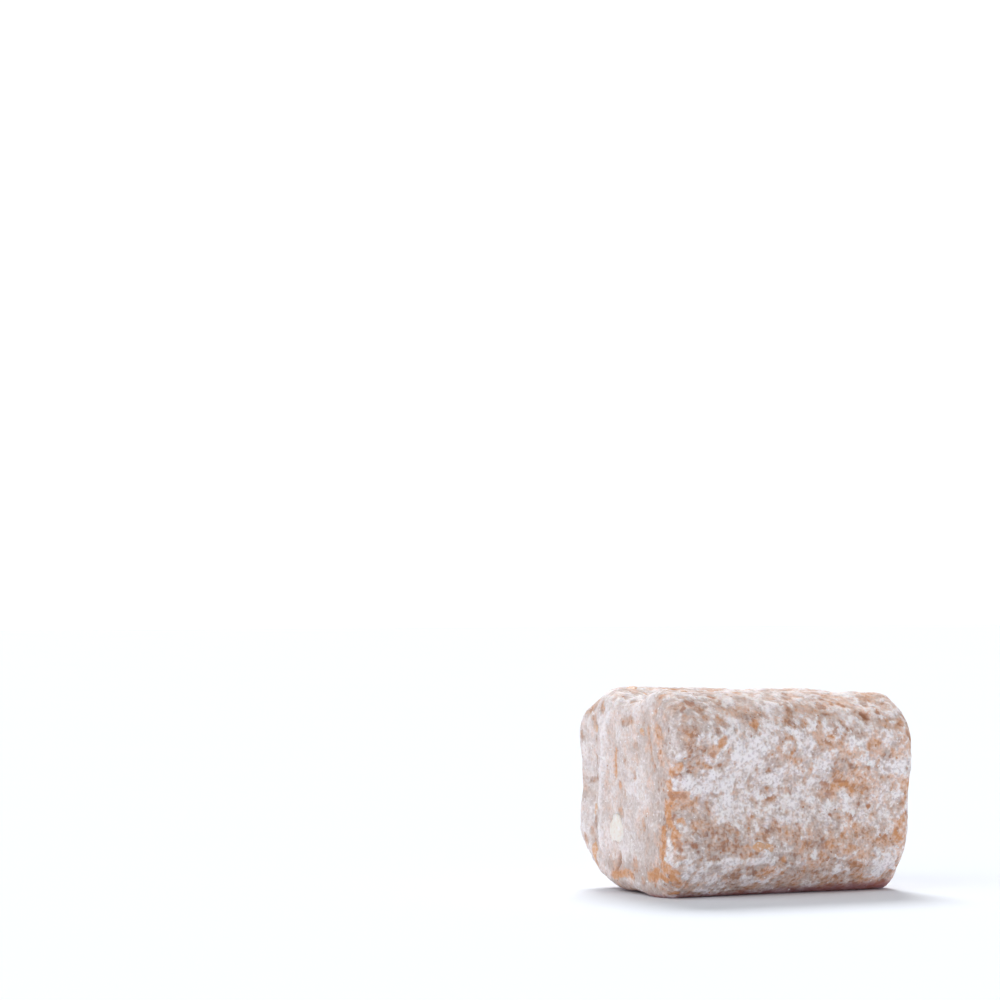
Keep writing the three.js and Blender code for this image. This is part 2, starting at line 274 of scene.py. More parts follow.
# bits of nut that show in the skin: side, place, half length and half width, turn in degrees, and
# how pale, from roasted to blanched
NUT_BITS = [
    {"side": "front", "at": (-4.9, 5.2), "size": (1.0, 0.62), "turn": 4, "pale": 0.1},
    {"side": "front", "at": (-3.6, 5.1), "size": (0.80, 0.56), "turn": -8, "pale": 0.0},
    {"side": "left", "at": (6.2, 16.9), "size": (0.75, 0.62), "turn": -20, "pale": 0.3},
    {"side": "left", "at": (6.7, 8.5), "size": (0.80, 0.60), "turn": 70, "pale": 0.3},
    {"side": "left", "at": (6.8, 4.1), "size": (0.95, 0.80), "turn": 80, "pale": 0.0},
    {"side": "left", "at": (2.3, 6.5), "size": (1.95, 1.60), "turn": 30, "pale": 1.0},
    {"side": "left", "at": (-3.4, 16.9), "size": (0.50, 0.40), "turn": 60, "pale": 0.2},
]
NUT_BIT_HALF_THICKNESS = 0.28
NUT_BIT_RAGGED = 0.28
NUT_BIT_SUNK = 0.18

# bits of nut drawn by chance on the other sides: how many, and the span that they lie in each way
CHANCE_NUT_BITS = {
    "back": {"count": 9, "along": (-11, 11), "up": (3, 18)},
    "right": {"count": 6, "along": (-7, 7), "up": (3, 18)},
    "top": {"count": 5, "along": (-11, 11), "up": (-7, 7)},
}

# ---- patterns in the skin -----------------------------------------------------------------------

# how the sugar and the warmth of the mass change over the bar, before its marks
# the last of these, less sugar low down, is painted shade: darker towards the foot
SUGAR = {"more_on_ends": 0.13, "less_near_front": 0.10, "more_on_top": 0.16, "painted_shade_low_down": 0.20}
WARMTH = {"even": 0.31, "strength": 0.7, "less_on_ends": 0.33, "more_per_mm_rightwards": 0.03}

# uneven sugar in the mesh, from broad to fine: the size of one bump, how strong it is, how much
# weaker on the ends, and the shift that keeps it apart from the other patterns
MOTTLE = (
    {"size": 5.5, "strength": 0.10, "weaker": 0.0, "shift": 3.0},
    {"size": 2.8, "strength": 0.20, "weaker": 0.06, "shift": 4.0},
    {"size": 1.4, "strength": 0.42, "weaker": 0.29, "shift": 5.0},
    {"size": 0.75, "strength": 0.50, "weaker": 0.40, "shift": 13.0},
)
# dragged streaks: how long one is along X, Y and Z, on the sides and on the ends
SIDE_STREAK = (4.5, 0.7, 0.6)
END_STREAK = (1.5, 0.6, 3.2)

# patterns in the sugar that are too fine for the mesh: the size of one bump, its stretch along X, Y
# and Z, its detail and bend, how strong it is, and the share of that on rough and on calm skin
FINE_PATTERNS = (
    {"size": 0.52, "detail": 1.0, "bend": 0.5, "strength": 1.15, "share": (1.0, 0.28)},
    {"size": 0.28, "detail": 0.5, "bend": 0.0, "strength": 0.60, "share": (1.0, 0.7)},
    {"size": 0.11, "detail": 1.0, "bend": 0.0, "strength": 0.45, "share": (1.0, 0.8)},
    {"size": 0.36, "stretch": (5, 1, 1), "detail": 1.0, "bend": 0.4, "strength": 0.22, "share": (1.0, 0.0)},
    {"size": 0.45, "stretch": (1, 1, 4), "detail": 1.5, "bend": 0.3, "strength": 0.25, "share": (0.0, 1.0)},
)
# round lumps and gaps in the sugar: the size of the cells that they lie in, what each adds, and the
# share of that on rough and on calm skin
FINE_SPOTS = (
    {"cell": 0.62, "adds": 0.25, "share": (1.0, 0.28)},
    {"cell": 0.85, "adds": -0.38, "share": (1.0, 0.28)},
)

# the amounts of sugar between which bare mass turns filmed over, and filmed mass turns white
FILMED_OVER = (-0.15, 0.50)
TURNED_WHITE = (0.36, 1.16)

# how strongly toasted specks show
TOASTED_MOST = 0.6
# the painted shade along the foot of the bar, a dark purplish band where it rests on the floor: the height
# where it starts and where it is darkest, how ragged its edge is, how much higher that lies for each
# millimetre to the right, and how strongly it shows
FOOT_SHADE = {"from": 1.05, "full": 0.15, "ragged": 0.9, "rise": 0.03, "most": 0.70}

# ---- loose pieces and stage ---------------------------------------------------------------------

# what is scattered on the skin: the segments and rings of each shape, how flat and how jagged it is,
# its least and greatest size, and how many different shapes there are
SCATTERED = {
    "sugar_clumps": {"cuts": (7, 4), "flatness": 0.22, "jag": 0.38, "sizes": (0.14, 0.36), "shapes": 12},
    "sugar_grains": {"cuts": (4, 3), "flatness": 0.60, "jag": 0.20, "sizes": (0.05, 0.10), "shapes": 12},
    "mass_crumbs": {"cuts": (6, 4), "flatness": 0.30, "jag": 0.30, "sizes": (0.10, 0.20), "shapes": 8},
    "skin_flecks": {"cuts": (8, 4), "flatness": 0.16, "jag": 0.20, "sizes": (0.16, 0.38), "shapes": 8},
}
# how deep each is sunk into the skin, as a share of its own depth, and how high the lowest one lies
SUNK_SHARE = 0.25
CLEAR_OF_FLOOR = 0.35

# the wide lights: the way each stands, its spread in degrees, and the setting of its strength
LIGHTS = {
    "key_light": {"towards": (0.24, 0.59, 0.77), "spread": 24, "setting": "key"},
    "side_light": {"towards": (-1.0, -0.15, 0.75), "spread": 60, "setting": "side"},
    "fill_light": {"towards": (-0.25, -0.80, 0.90), "spread": 80, "setting": "fill"},
}
# how far up, as a sine, the white room starts to darken and where it is as dark as overhead
ROOM_DARKENS = (0.155, 0.30)
FLOOR_HALF_SIDE = 2.0


# ---- settings -----------------------------------------------------------------------------------

def colour_property(name, description, default):
    return FloatVectorProperty(
        name=name, description=description, default=default, size=3, min=0, max=1, subtype="COLOR"
    )


def height_property(name, description, default, most=0.5):
    return FloatProperty(
        name=name, description=f"{description}, in millimetres", default=default, min=0, max=most
    )


def count_property(name, description, default, most):
    return IntProperty(name=name, description=description, default=default, min=0, max=most)


def strength_property(name, description, default):
    return FloatProperty(name=name, description=description, default=default, min=0)


class TruffleSurface(bpy.types.PropertyGroup):
    """How rough the skin of the mass is, and how much sugar lies on it."""

    crumb: height_property("Crumb", "Height of the crumbly relief", 0.035)
    pit: height_property("Pits", "Depth of the pits", 0.30, most=1.0)
    ridge: height_property("Ridge", "Height of the wire's ridge", 0.14)
    lip: height_property("Lip", "Height of the smeared lip", 0.26)
    streak: height_property("Streaks", "Height of the dragged streaks", 0.03)
    crust: height_property("Sugar crust", "Thickness of the densest sugar", 0.09)
    sugar: FloatProperty(
        name="Sugar", description="How much sugar lies on the sides", default=0.57, min=0, max=1,
        subtype="FACTOR",
    )
    uneven: FloatProperty(name="Uneven", description="How patchy the sugar is", default=1.0, min=0, max=2)
    clumps: count_property("Clumps", "Number of small lumps of sugar", 3600, 4700)
    grains: count_property("Grains", "Number of loose sugar grains", 8000, 12000)
    crumbs: count_property("Crumbs", "Number of crumbs of nut mass", 260, 5000)
    flecks: count_property("Flecks", "Number of flecks of nut skin", 320, 3000)
    seed: IntProperty(name="Seed", description="Start of the random draws", default=11, min=0)


class TruffleColours(bpy.types.PropertyGroup):
    """Colours of the mass, sugar, nuts and floor."""

    bare: colour_property("Bare mass", "The nut mass where no sugar lies on it", (0.34, 0.195, 0.155))
    warm: colour_property("Rubbed mass", "The orange of mass that has been rubbed", (0.62, 0.305, 0.15))
    rust: colour_property("Toasted specks", "Small dark specks of toasted nut skin", (0.42, 0.18, 0.10))
    # painted shade: the dark purplish colour laid along the foot of the bar, where it rests on the floor
    foot_shade: colour_property("Painted foot shade", "The mass just above what it lies on", (0.34, 0.10, 0.135))
    film: colour_property("Sugared mass", "The mass under a thin film of sugar", (0.60, 0.50, 0.465))
    warm_film: colour_property(
        "Sugared rubbed mass", "Rubbed mass under a thin film of sugar", (0.78, 0.54, 0.43)
    )
    # painted shade: the colour laid between the grains of sugar
    pore_shade_colour: colour_property("Pores", "The shade between the grains of sugar", (0.40, 0.315, 0.345))
    sugar: colour_property("Sugar", "Dense white sugar", (0.96, 0.905, 0.92))
    nut: colour_property("Nut", "Roasted nut", (0.70, 0.40, 0.235))
    pale_nut: colour_property("Pale nut", "Blanched nut", (0.88, 0.83, 0.78))
    floor: colour_property("Floor", "The pale floor", (0.88, 0.92, 0.985))


class TruffleStage(bpy.types.PropertyGroup):
    """Camera and light."""

    camera_place: FloatVectorProperty(
        name="Camera", description="Where the camera stands", default=(-0.2060, -0.3429, 0.0323),
        subtype="TRANSLATION", unit="LENGTH",
    )
    camera_turn: FloatProperty(
        name="Turn", description="Turn of the camera from +Y towards +X", default=0.47655, subtype="ANGLE"
    )
    camera_tilt: FloatProperty(
        name="Tilt", description="Tilt of the camera above the horizon", default=0.02125, subtype="ANGLE"
    )
    lens: FloatProperty(name="Lens", description="Focal length", default=136.7, unit="CAMERA")
    horizon: strength_property("Horizon", "Brightness of the white room all round", 1.08)
    ceiling: strength_property("Ceiling", "Brightness of the white room overhead", 0.36)
    key: strength_property("Key light", "Wide light from behind and above", 2.2)
    side: strength_property("Side light", "Wide light from the left", 0.66)
    fill: strength_property("Fill light", "Wide light from the front", 0.25)


# ---- relief and sugar, worked out for many points at once ---------------------------------------
# Each pattern is shifted by a number of its own, so that no two of them line up.

def bumps(points, size):
    """Smooth random relief from about -1 to 1, with bumps of that size, which may differ by axis."""
    return np.array([noise.noise(point) for point in (points / np.array(size)).tolist()])


def wander(points, size, shift):
    """A smooth random way for each point, to bend a pattern with."""
    return np.stack([bumps(points + shift + 17.0 * axis, size) for axis in range(3)], axis=1)


def ramp(value, low, high):
    """0 at low and 1 at high, and smooth between."""
    share = np.clip((value - low) / (high - low), 0, 1)
    return share * share * (3 - 2 * share)


def chance_marks(side, seed):
    """Marks for a side that the light doesn't fall on, of the same kinds as on the front."""
    low = np.array(CAD_BOX[0]) / MM
    high = np.array(CAD_BOX[1]) / MM
    ways = [np.abs(np.array(SIDES[side][way])) for way in ("along", "up")]
    from_place = np.array([way @ low for way in ways])
    to_place = np.array([way @ high for way in ways])
    draw = np.random.default_rng(seed)
    marks = []
    for kind, (count, longest, furthest) in CHANCE_MARKS.items():
        for _ in range(count):
            start = draw.uniform(from_place, to_place)
            turn = draw.normal(0, 0.35)
            run = draw.uniform(0.1, 1.0) * longest * np.array((math.cos(turn), math.sin(turn)))
            if abs(SIDES[side]["out"].x) > 0.5:
                run = run[::-1]
            marks.append((side, kind, start, start + run, draw.uniform(0.5, 1.0) * furthest, 0.0))
    return marks


def all_marks():
    """Every mark as side, kind, start, end, spread and ring radius, in the order of MARK_KINDS."""
    marks = []
    for side, table in (("front", FRONT_MARKS), ("left", LEFT_MARKS), ("corner", CORNER_MARKS)):
        for kind, rows in table.items():
            for start, end, spread, *ring in rows:
                marks.append((side, kind, np.array(start), np.array(end), spread, sum(ring)))
    for side, seed in CHANCE_SIDES.items():
        marks += chance_marks(side, seed)
    order = list(MARK_KINDS)
    return sorted(marks, key=lambda mark: order.index(mark[1]))


def mark_share(flat, start, end, spread, ring, ragged):
    """How much of a mark lies at each place, from 0 to 1, with a ragged edge."""
    run = end - start
    share = np.clip((flat - start) @ run / max(float(run @ run), 1e-9), 0, 1)
    distance = np.linalg.norm(flat - start - share[:, None] * run, axis=1)
    return ramp(np.abs(distance - ring) + 0.55 * spread * ragged, 1.05 * spread, 0.35 * spread)


def apply_marks(fields, points, normals, ragged):
    """Turns the skin into what each mark's kind says, where the mark lies."""
    places = {}
    for name, side in SIDES.items():
        # a side's marks fade out where the skin turns away from it
        seen = ramp(normals @ np.array(side["out"]), 0.25, 0.60)
        rows = np.flatnonzero(seen)
        flat = np.stack([points[rows] @ np.array(side[way]) for way in ("along", "up")], axis=1)
        places[name] = (rows, seen[rows], flat, ragged[rows])
    for side, kind, start, end, spread, ring in all_marks():
        rows, seen, flat, rough = places[side]
        share = seen * mark_share(flat, start, end, spread, ring, rough)
        for channel, target in MARK_KINDS[kind].items():
            fields[channel][rows] += share * (target - fields[channel][rows])


def unmarked_fields(points, normals, on_end):
    """The skin before its marks: more sugar on the ends and on top, and warmer towards the right."""
    near_front = ramp(points[:, 1], -1.5, -5.5)
    rubbed = WARMTH["even"] + 1.1 * bumps(points + 17.0, 2.0) + 0.7 * bumps(points + 19.0, 0.9)
    rightwards = np.clip(points[:, 0] + 1.0, -10, 10)
    return {
        "sugar": bpy.context.scene.truffle_surface.sugar
        + on_end * (SUGAR["more_on_ends"] - SUGAR["less_near_front"] * near_front)
        + SUGAR["more_on_top"] * np.clip(normals[:, 2], 0, 1),
        "warm": WARMTH["strength"] * np.clip(rubbed, 0, 1)
        - WARMTH["less_on_ends"] * on_end
        + WARMTH["more_per_mm_rightwards"] * (1 - on_end) * rightwards,
        "toast": np.zeros(len(points)),
        "hollow": np.zeros(len(points)),
        "raised": np.zeros(len(points)),
    }


def skin_fields(points, normals):
    """What the skin is like at each point, in fields from about 0 to 1, and its streaks, from -1 to 1.

    The fields are the sugar on it, how warm, toasted, hollow and raised it is, and how calm, which is
    where the finest pattern of the sugar is weak.
    """
    near = wander(points, 1.3, 61.0)
    bent = points + 0.8 * near + 1.3 * wander(points, 4.2, 83.0)
    on_end = np.clip(np.abs(normals[:, 0]) * 1.6 - 0.5, 0, 1)
    fields = unmarked_fields(points, normals, on_end)
    apply_marks(fields, points + 0.22 * near, normals, bumps(points + 71.0, 0.45))
    streaks = (1 - on_end) * bumps(bent + 7.0, SIDE_STREAK) + on_end * bumps(bent + 9.0, END_STREAK)
    mottle = sum(
        (row["strength"] - row["weaker"] * on_end) * bumps(bent + row["shift"], row["size"])
        for row in MOTTLE
    )
    uneven = bpy.context.scene.truffle_surface.uneven
    sugar = fields["sugar"] + uneven * (mottle + (0.14 - 0.06 * on_end) * streaks)
    # less sugar towards the foot: painted shade, darker low down
    sugar -= SUGAR["painted_shade_low_down"] * ramp(points[:, 2], 1.8, 0.2)
    # the thinnest sugar is thickened a little, and the thickest thinned
    fields["sugar"] = sugar + 0.5 * np.clip(0.34 - sugar, 0, 1) - 0.25 * np.clip(sugar - 0.9, 0, 1)
    smoothed = on_end * (0.2 + 0.8 * ramp(points[:, 1], -8.0, -5.0))
    fields["calm"] = np.maximum(smoothed, 0.7 * ramp(normals[:, 2], 0.2, 0.7))
    return fields, streaks


def lip_share(points):
    """1 on the smear of mass at the foot of the front left corner, and 0 past its sharp, ragged edge."""
    across = points @ np.array(SIDES["corner"]["along"])
    up = points[:, 2]
    edge = -2.45 + 0.18 * np.sin(up * 2.3) + 0.10 * np.sin(up * 6.1 + 1)
    top = 5.5 + 0.25 * np.sin(across * 4.0)
    smeared = ramp(across, edge + 0.10, edge - 0.12) * ramp(across, -5.6, -4.4)
    return smeared * ramp(up, top, top - 0.5) * ramp(up, 0.9, 1.9)


def relief_height(points, fields, streaks):
    """How far the skin stands out of the smoothed solid at each point."""
    settings = bpy.context.scene.truffle_surface
    crumb = bumps(points + 41.0, 0.95) + 0.7 * bumps(points + 43.0, 0.5)
    crust = ramp(fields["sugar"], 0.55, 0.95)
    lumpy = 1 + 0.5 * bumps(points + 47.0, 0.45)
    return (
        settings.crumb * crumb
        + settings.streak * streaks
        + settings.crust * crust * lumpy
        - settings.pit * fields["hollow"]
        + settings.ridge * fields["raised"]
        + settings.lip * lip_share(points)
    )


# ---- mesh helpers -------------------------------------------------------------------------------

def read_vectors(elements, name):
    values = np.empty(len(elements) * 3)
    elements.foreach_get(name, values)
    return values.reshape(-1, 3)


def read_numbers(elements, name, kind=float):
    values = np.empty(len(elements), kind)
    elements.foreach_get(name, values)
    return values


def store(mesh, name, values):
    attribute = mesh.attributes.new(name, "FLOAT", "POINT")
    attribute.data.foreach_set("value", np.asarray(values, np.float32))


def add_piece(name, mesh, material):
    """Puts a finished mesh into the scene as a piece that rides on the truffle's body."""
    piece = bpy.data.objects.new(name, mesh)
    bpy.context.scene.collection.objects.link(piece)
    mesh.materials.append(material)
    mesh.polygons.foreach_set("use_smooth", [True] * len(mesh.polygons))
    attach(piece, BODY)
    return piece


def fine_copy_of_node(levels):
    """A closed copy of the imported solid, in quads, with each face split smoothly."""
    shape = bmesh.new()
    shape.from_mesh(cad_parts[NODE].data)
    bmesh.ops.remove_doubles(shape, verts=shape.verts, dist=1e-7)
    bmesh.ops.join_triangles(
        shape,
        faces=shape.faces,
        angle_face_threshold=math.radians(60),
        angle_shape_threshold=math.radians(70),
    )
    coarse = bpy.data.meshes.new("coarse")
    shape.to_mesh(coarse)
    shape.free()
    holder = bpy.data.objects.new("coarse", coarse)
    bpy.context.scene.collection.objects.link(holder)
    modifier = holder.modifiers.new("smooth", "SUBSURF")
    modifier.levels = levels
    modifier.render_levels = levels
    ready = holder.evaluated_get(bpy.context.evaluated_depsgraph_get())
    fine = bpy.data.meshes.new_from_object(ready)
    bpy.data.objects.remove(holder)
    bpy.data.meshes.remove(coarse)
    return fine


def small_shapes(kind, seed):
    """Small irregular lumps about 1 across, each a list of points, and the faces that they share."""
    draw = np.random.default_rng(seed)
    segments, rings = kind["cuts"]
    shape = bmesh.new()
    bmesh.ops.create_uvsphere(shape, u_segments=segments, v_segments=rings, radius=0.5)
    bmesh.ops.triangulate(shape, faces=shape.faces)
    points = np.array([vert.co[:] for vert in shape.verts])
    faces = np.array([[vert.index for vert in face.verts] for face in shape.faces])
    shape.free()
    lumps = []
    for _ in range(kind["shapes"]):
        stretch = draw.uniform(0.7, 1.3, 3) * np.array((1, 1, kind["flatness"]))
        jagged = 1 + kind["jag"] * draw.uniform(-1, 1, (len(points), 1))
        lumps.append(points * jagged * stretch)
    return lumps, faces


def scatter(name, lumps, faces, places, normals, sizes, draw):
    """One mesh of many lumps, each set a little into the skin at its place with its flat side to it."""
    total_points = []
    depth = np.ptp(lumps[0][:, 2])
    for place, normal, size in zip(places, normals, sizes):
        lump = lumps[draw.integers(len(lumps))]
        turn = turned_out(Vector(normal)) @ Matrix.Rotation(draw.uniform(0, math.tau), 3, "Z")
        total_points.append(lump * size @ np.array(turn).T + place - SUNK_SHARE * depth * size * normal)
    points = np.concatenate(total_points) * MM
    shifts = np.arange(len(places)) * len(lumps[0])
    corners = (faces[None] + shifts[:, None, None]).reshape(-1, 3)
    mesh = bpy.data.meshes.new(name)
    mesh.vertices.add(len(points))
    mesh.vertices.foreach_set("co", points.ravel())
    mesh.loops.add(corners.size)
    mesh.loops.foreach_set("vertex_index", corners.ravel())
    mesh.polygons.add(len(corners))
    mesh.polygons.foreach_set("loop_start", np.arange(len(corners)) * 3)
    mesh.update(calc_edges=True)
    return mesh


def turned_out(out):
    """The turn that takes +Z to the way that a place on the skin looks."""
    return out.to_track_quat("Z", "Y").to_matrix()


def skin_places(count, weight_of, draw):
    """Random places on the skin, more where weight_of says, each with the way out and its sugar."""
    mesh = bpy.data.objects[SKIN_PIECE].data
    centres = read_vectors(mesh.polygons, "center") / MM
    normals = read_vectors(mesh.polygons, "normal")
    first = read_numbers(mesh.polygons, "loop_start", int)
    corner = read_numbers(mesh.loops, "vertex_index", int)
    sugar = read_numbers(mesh.attributes["sugar"].data, "value", np.float32)[corner[first]]
    above_floor = centres[:, 2] > CLEAR_OF_FLOOR
    weight = read_numbers(mesh.polygons, "area") * weight_of(sugar) * above_floor
    chosen = draw.choice(len(centres), size=count, p=weight / weight.sum())
    # each lies a little beside the middle of its face
    aside = draw.normal(0, 0.05, (count, 3))
    aside -= (aside * normals[chosen]).sum(axis=1, keepdims=True) * normals[chosen]
    return centres[chosen] + aside, normals[chosen], sugar[chosen]


# ---- materials ----------------------------------------------------------------------------------

def new_material(name):
    material = bpy.data.materials.new(name)
    material.use_nodes = True
    tree = material.node_tree
    shader = next(node for node in tree.nodes if node.type == "BSDF_PRINCIPLED")
    return material, tree, shader


def feed(tree, socket, value):
    """Gives a socket a plain value, or the output of another node."""
    if isinstance(value, bpy.types.NodeSocket):
        tree.links.new(value, socket)
    else:
        socket.default_value = value


def millimetres(tree, stretch=(1, 1, 1)):
    """Object coordinates in millimetres, in longer steps along an axis that a pattern is stretched on."""
    place = tree.nodes.new("ShaderNodeTexCoord")
    scale = tree.nodes.new("ShaderNodeMapping")
    scale.inputs["Scale"].default_value = tuple(1 / (MM * value) for value in stretch)
    tree.links.new(place.outputs["Object"], scale.inputs["Vector"])
    return scale.outputs["Vector"]


def noise_of(tree, place, size, detail, bend=0.0):
    """Noise from 0 to 1 with bumps of that size."""
    node = tree.nodes.new("ShaderNodeTexNoise")
    node.inputs["Scale"].default_value = 1 / size
    node.inputs["Detail"].default_value = detail
    node.inputs["Distortion"].default_value = bend
    tree.links.new(place, node.inputs["Vector"])
    return node.outputs["Fac"]


def spots(tree, place, cell, radius, share):
    """Round spots, 1 in the middle, in a share of the cells of that size; the radius is in cells."""
    cells = tree.nodes.new("ShaderNodeTexVoronoi")
    cells.inputs["Scale"].default_value = 1 / cell
    tree.links.new(place, cells.inputs["Vector"])
    parts = tree.nodes.new("ShaderNodeSeparateColor")
    tree.links.new(cells.outputs["Color"], parts.inputs["Color"])
    chosen = calculate(tree, "LESS_THAN", parts.outputs["Red"], share)
    spot = ease_between(tree, cells.outputs["Distance"], radius, 0.35 * radius)
    return multiply(tree, spot, chosen)


def stored(tree, name):
    node = tree.nodes.new("ShaderNodeAttribute")
    node.attribute_name = name
    return node.outputs["Fac"]


def rough_or_calm(tree, on_rough, on_calm):
    """A number that changes from one value on rough skin to another on calm skin."""
    return calculate(tree, "MULTIPLY_ADD", stored(tree, "calm"), on_calm - on_rough, on_rough)


def calculate(tree, operation, *values):
    """One step of arithmetic, on plain numbers or the outputs of other nodes."""
    node = tree.nodes.new("ShaderNodeMath")
    node.operation = operation
    for socket, value in zip(node.inputs, values):
        feed(tree, socket, value)
    return node.outputs[0]


def multiply(tree, first, second):
    return calculate(tree, "MULTIPLY", first, second)


def add_pattern(tree, base, pattern, strength):
    """The base with a pattern from 0 to 1 added to it, both ways from 0.5."""
    return calculate(tree, "MULTIPLY_ADD", calculate(tree, "SUBTRACT", pattern, 0.5), strength, base)


def blend_colours(tree, share, low, high):
    """The low colour where the share is 0, and the high one where it is 1."""
    node = tree.nodes.new("ShaderNodeMix")
    node.data_type = "RGBA"
    sockets = [socket for socket in node.inputs if socket.type == "RGBA"]
    for socket, colour in zip(sockets, (low, high)):
        feed(tree, socket, colour if isinstance(colour, bpy.types.NodeSocket) else (*colour, 1.0))
    tree.links.new(share, node.inputs["Factor"])
    return next(socket for socket in node.outputs if socket.type == "RGBA")


def ease_between(tree, value, low, high):
    """0 at low, 1 at high, and smooth between."""
    node = tree.nodes.new("ShaderNodeMapRange")
    node.interpolation_type = "SMOOTHSTEP"
    node.inputs["From Min"].default_value = low
    node.inputs["From Max"].default_value = high
    tree.links.new(value, node.inputs["Value"])
    return node.outputs["Result"]


def add_bump(tree, shader, height, strength, distance):
    node = tree.nodes.new("ShaderNodeBump")
    node.inputs["Strength"].default_value = strength
    node.inputs["Distance"].default_value = distance * MM
    tree.links.new(height, node.inputs["Height"])
    tree.links.new(node.outputs["Normal"], shader.inputs["Normal"])


def finish_shader(tree, shader, colour, roughness, specular=0.5):
    """Joins the colour to the shader and says how matt the surface is."""
    tree.links.new(colour, shader.inputs["Base Color"])
    shader.inputs["Roughness"].default_value = roughness
    shader.inputs["Specular IOR Level"].default_value = specular


def let_light_in(shader, weight, radii, scale):
    """Light that spreads a little way under the surface, with a radius for red, green and blue."""
    shader.inputs["Subsurface Weight"].default_value = weight
    shader.inputs["Subsurface Radius"].default_value = radii
    shader.inputs["Subsurface Scale"].default_value = scale * MM


def fine_sugar(tree, place):
    """The stored sugar broken up by what is too fine for the mesh: powder, dust and dragged streaks."""
    sugar = stored(tree, "sugar")
    for row in FINE_PATTERNS:
        stretched = millimetres(tree, row["stretch"]) if "stretch" in row else place
        pattern = noise_of(tree, stretched, row["size"], row["detail"], row["bend"])
        around = calculate(tree, "SUBTRACT", pattern, 0.5)
        around = multiply(tree, around, rough_or_calm(tree, *row["share"]))
        sugar = calculate(tree, "MULTIPLY_ADD", around, row["strength"], sugar)
    for row in FINE_SPOTS:
        spot = spots(tree, place, row["cell"], radius=0.42, share=0.32)
        spot = multiply(tree, spot, rough_or_calm(tree, *row["share"]))
        sugar = calculate(tree, "MULTIPLY_ADD", spot, row["adds"], sugar)
    return sugar


def pore_shade(tree, place):
    """How deep in the shade each place is, between grains of sugar."""
    fine = ease_between(tree, noise_of(tree, place, size=0.34, detail=1.5), 0.50, 0.34)
    holes = spots(tree, place, cell=0.56, radius=0.40, share=0.40)
    return calculate(tree, "MAXIMUM", fine, holes)


def toasted_share(tree, place, sugar):
    """How toasted each place is: freckles where the sugar is thin, and the toasted marks."""
    thin = ease_between(tree, sugar, 0.75, 0.25)
    freckles = ease_between(tree, noise_of(tree, place, size=0.62, detail=1.5), 0.58, 0.72)
    marks = add_pattern(tree, stored(tree, "toast"), noise_of(tree, place, size=0.35, detail=2.0), 1.6)
    return calculate(
        tree,
        "MAXIMUM",
        multiply(tree, multiply(tree, freckles, thin), TOASTED_MOST),
        multiply(tree, ease_between(tree, marks, 0.25, 1.05), TOASTED_MOST),
    )


def foot_shade_share(tree, place):
    """How much painted shade lies along the foot of the bar: up to a ragged edge just above the surface, a
    little higher to the right.
    """
    parts = tree.nodes.new("ShaderNodeSeparateXYZ")
    tree.links.new(place, parts.inputs["Vector"])
    uneven = noise_of(tree, place, size=0.9, detail=2.0)
    height = add_pattern(tree, parts.outputs["Z"], uneven, FOOT_SHADE["ragged"])
    height = calculate(tree, "MULTIPLY_ADD", parts.outputs["X"], -FOOT_SHADE["rise"], height)
    return multiply(tree, ease_between(tree, height, FOOT_SHADE["from"], FOOT_SHADE["full"]), FOOT_SHADE["most"])


def nut_mass_material():
    """Nut mass under uneven sugar: bare and orange where rubbed, filmed over, and white where dense."""
    colours = bpy.context.scene.truffle_colours
    material, tree, shader = new_material("sugared_nut_mass")
    place = millimetres(tree)
    sugar = fine_sugar(tree, place)
    warmth = stored(tree, "warm")
    for size, strength in ((1.9, 1.1), (0.6, 1.1), (0.30, 0.5)):
        warmth = add_pattern(tree, warmth, noise_of(tree, place, size, detail=1.5), strength)
    warmth = ease_between(tree, warmth, -0.35, 0.90)
    mass = blend_colours(tree, warmth, colours.bare, colours.warm)
    film = blend_colours(tree, warmth, colours.film, colours.warm_film)
    skin = blend_colours(tree, ease_between(tree, sugar, *FILMED_OVER), mass, film)
    skin = blend_colours(tree, ease_between(tree, sugar, *TURNED_WHITE), skin, colours.sugar)
    skin = blend_colours(tree, toasted_share(tree, place, sugar), skin, colours.rust)
    # painted shade between the grains of sugar, weaker on calm skin
    pore_shade_share = multiply(tree, pore_shade(tree, place), ease_between(tree, sugar, 0.1, 0.6))
    skin = blend_colours(tree, multiply(tree, pore_shade_share, rough_or_calm(tree, 0.40, 0.18)), skin, colours.pore_shade_colour)
    # the pits' toasted brown, darkened by painted shade
    painted_pit_shade = [0.7 * value for value in colours.rust]
    skin = blend_colours(tree, multiply(tree, stored(tree, "hollow"), 0.5), skin, painted_pit_shade)
    # painted shade along the foot of the bar
    skin = blend_colours(tree, foot_shade_share(tree, place), skin, colours.foot_shade)
    finish_shader(tree, shader, skin, roughness=0.85, specular=0.25)
    add_bump(tree, shader, ease_between(tree, sugar, 0.1, 1.1), strength=0.6, distance=0.08)
    let_light_in(shader, weight=0.15, radii=(1.0, 0.5, 0.3), scale=0.5)
    return material


def sugar_material():
    """Fine white sugar, matt and slightly uneven in tone."""
    colours = bpy.context.scene.truffle_colours
    material, tree, shader = new_material("sugar")
    place = millimetres(tree)
    tone = ease_between(tree, noise_of(tree, place, size=0.5, detail=2.0), 0.35, 0.60)
    dull = [(value + film) / 2 for value, film in zip(colours.sugar, colours.film)]
    finish_shader(tree, shader, blend_colours(tree, tone, dull, colours.sugar), roughness=0.8)
    add_bump(tree, shader, noise_of(tree, place, size=0.08, detail=2.0), strength=0.4, distance=0.03)
    let_light_in(shader, weight=0.3, radii=(1.0, 0.9, 0.8), scale=0.3)
    return material


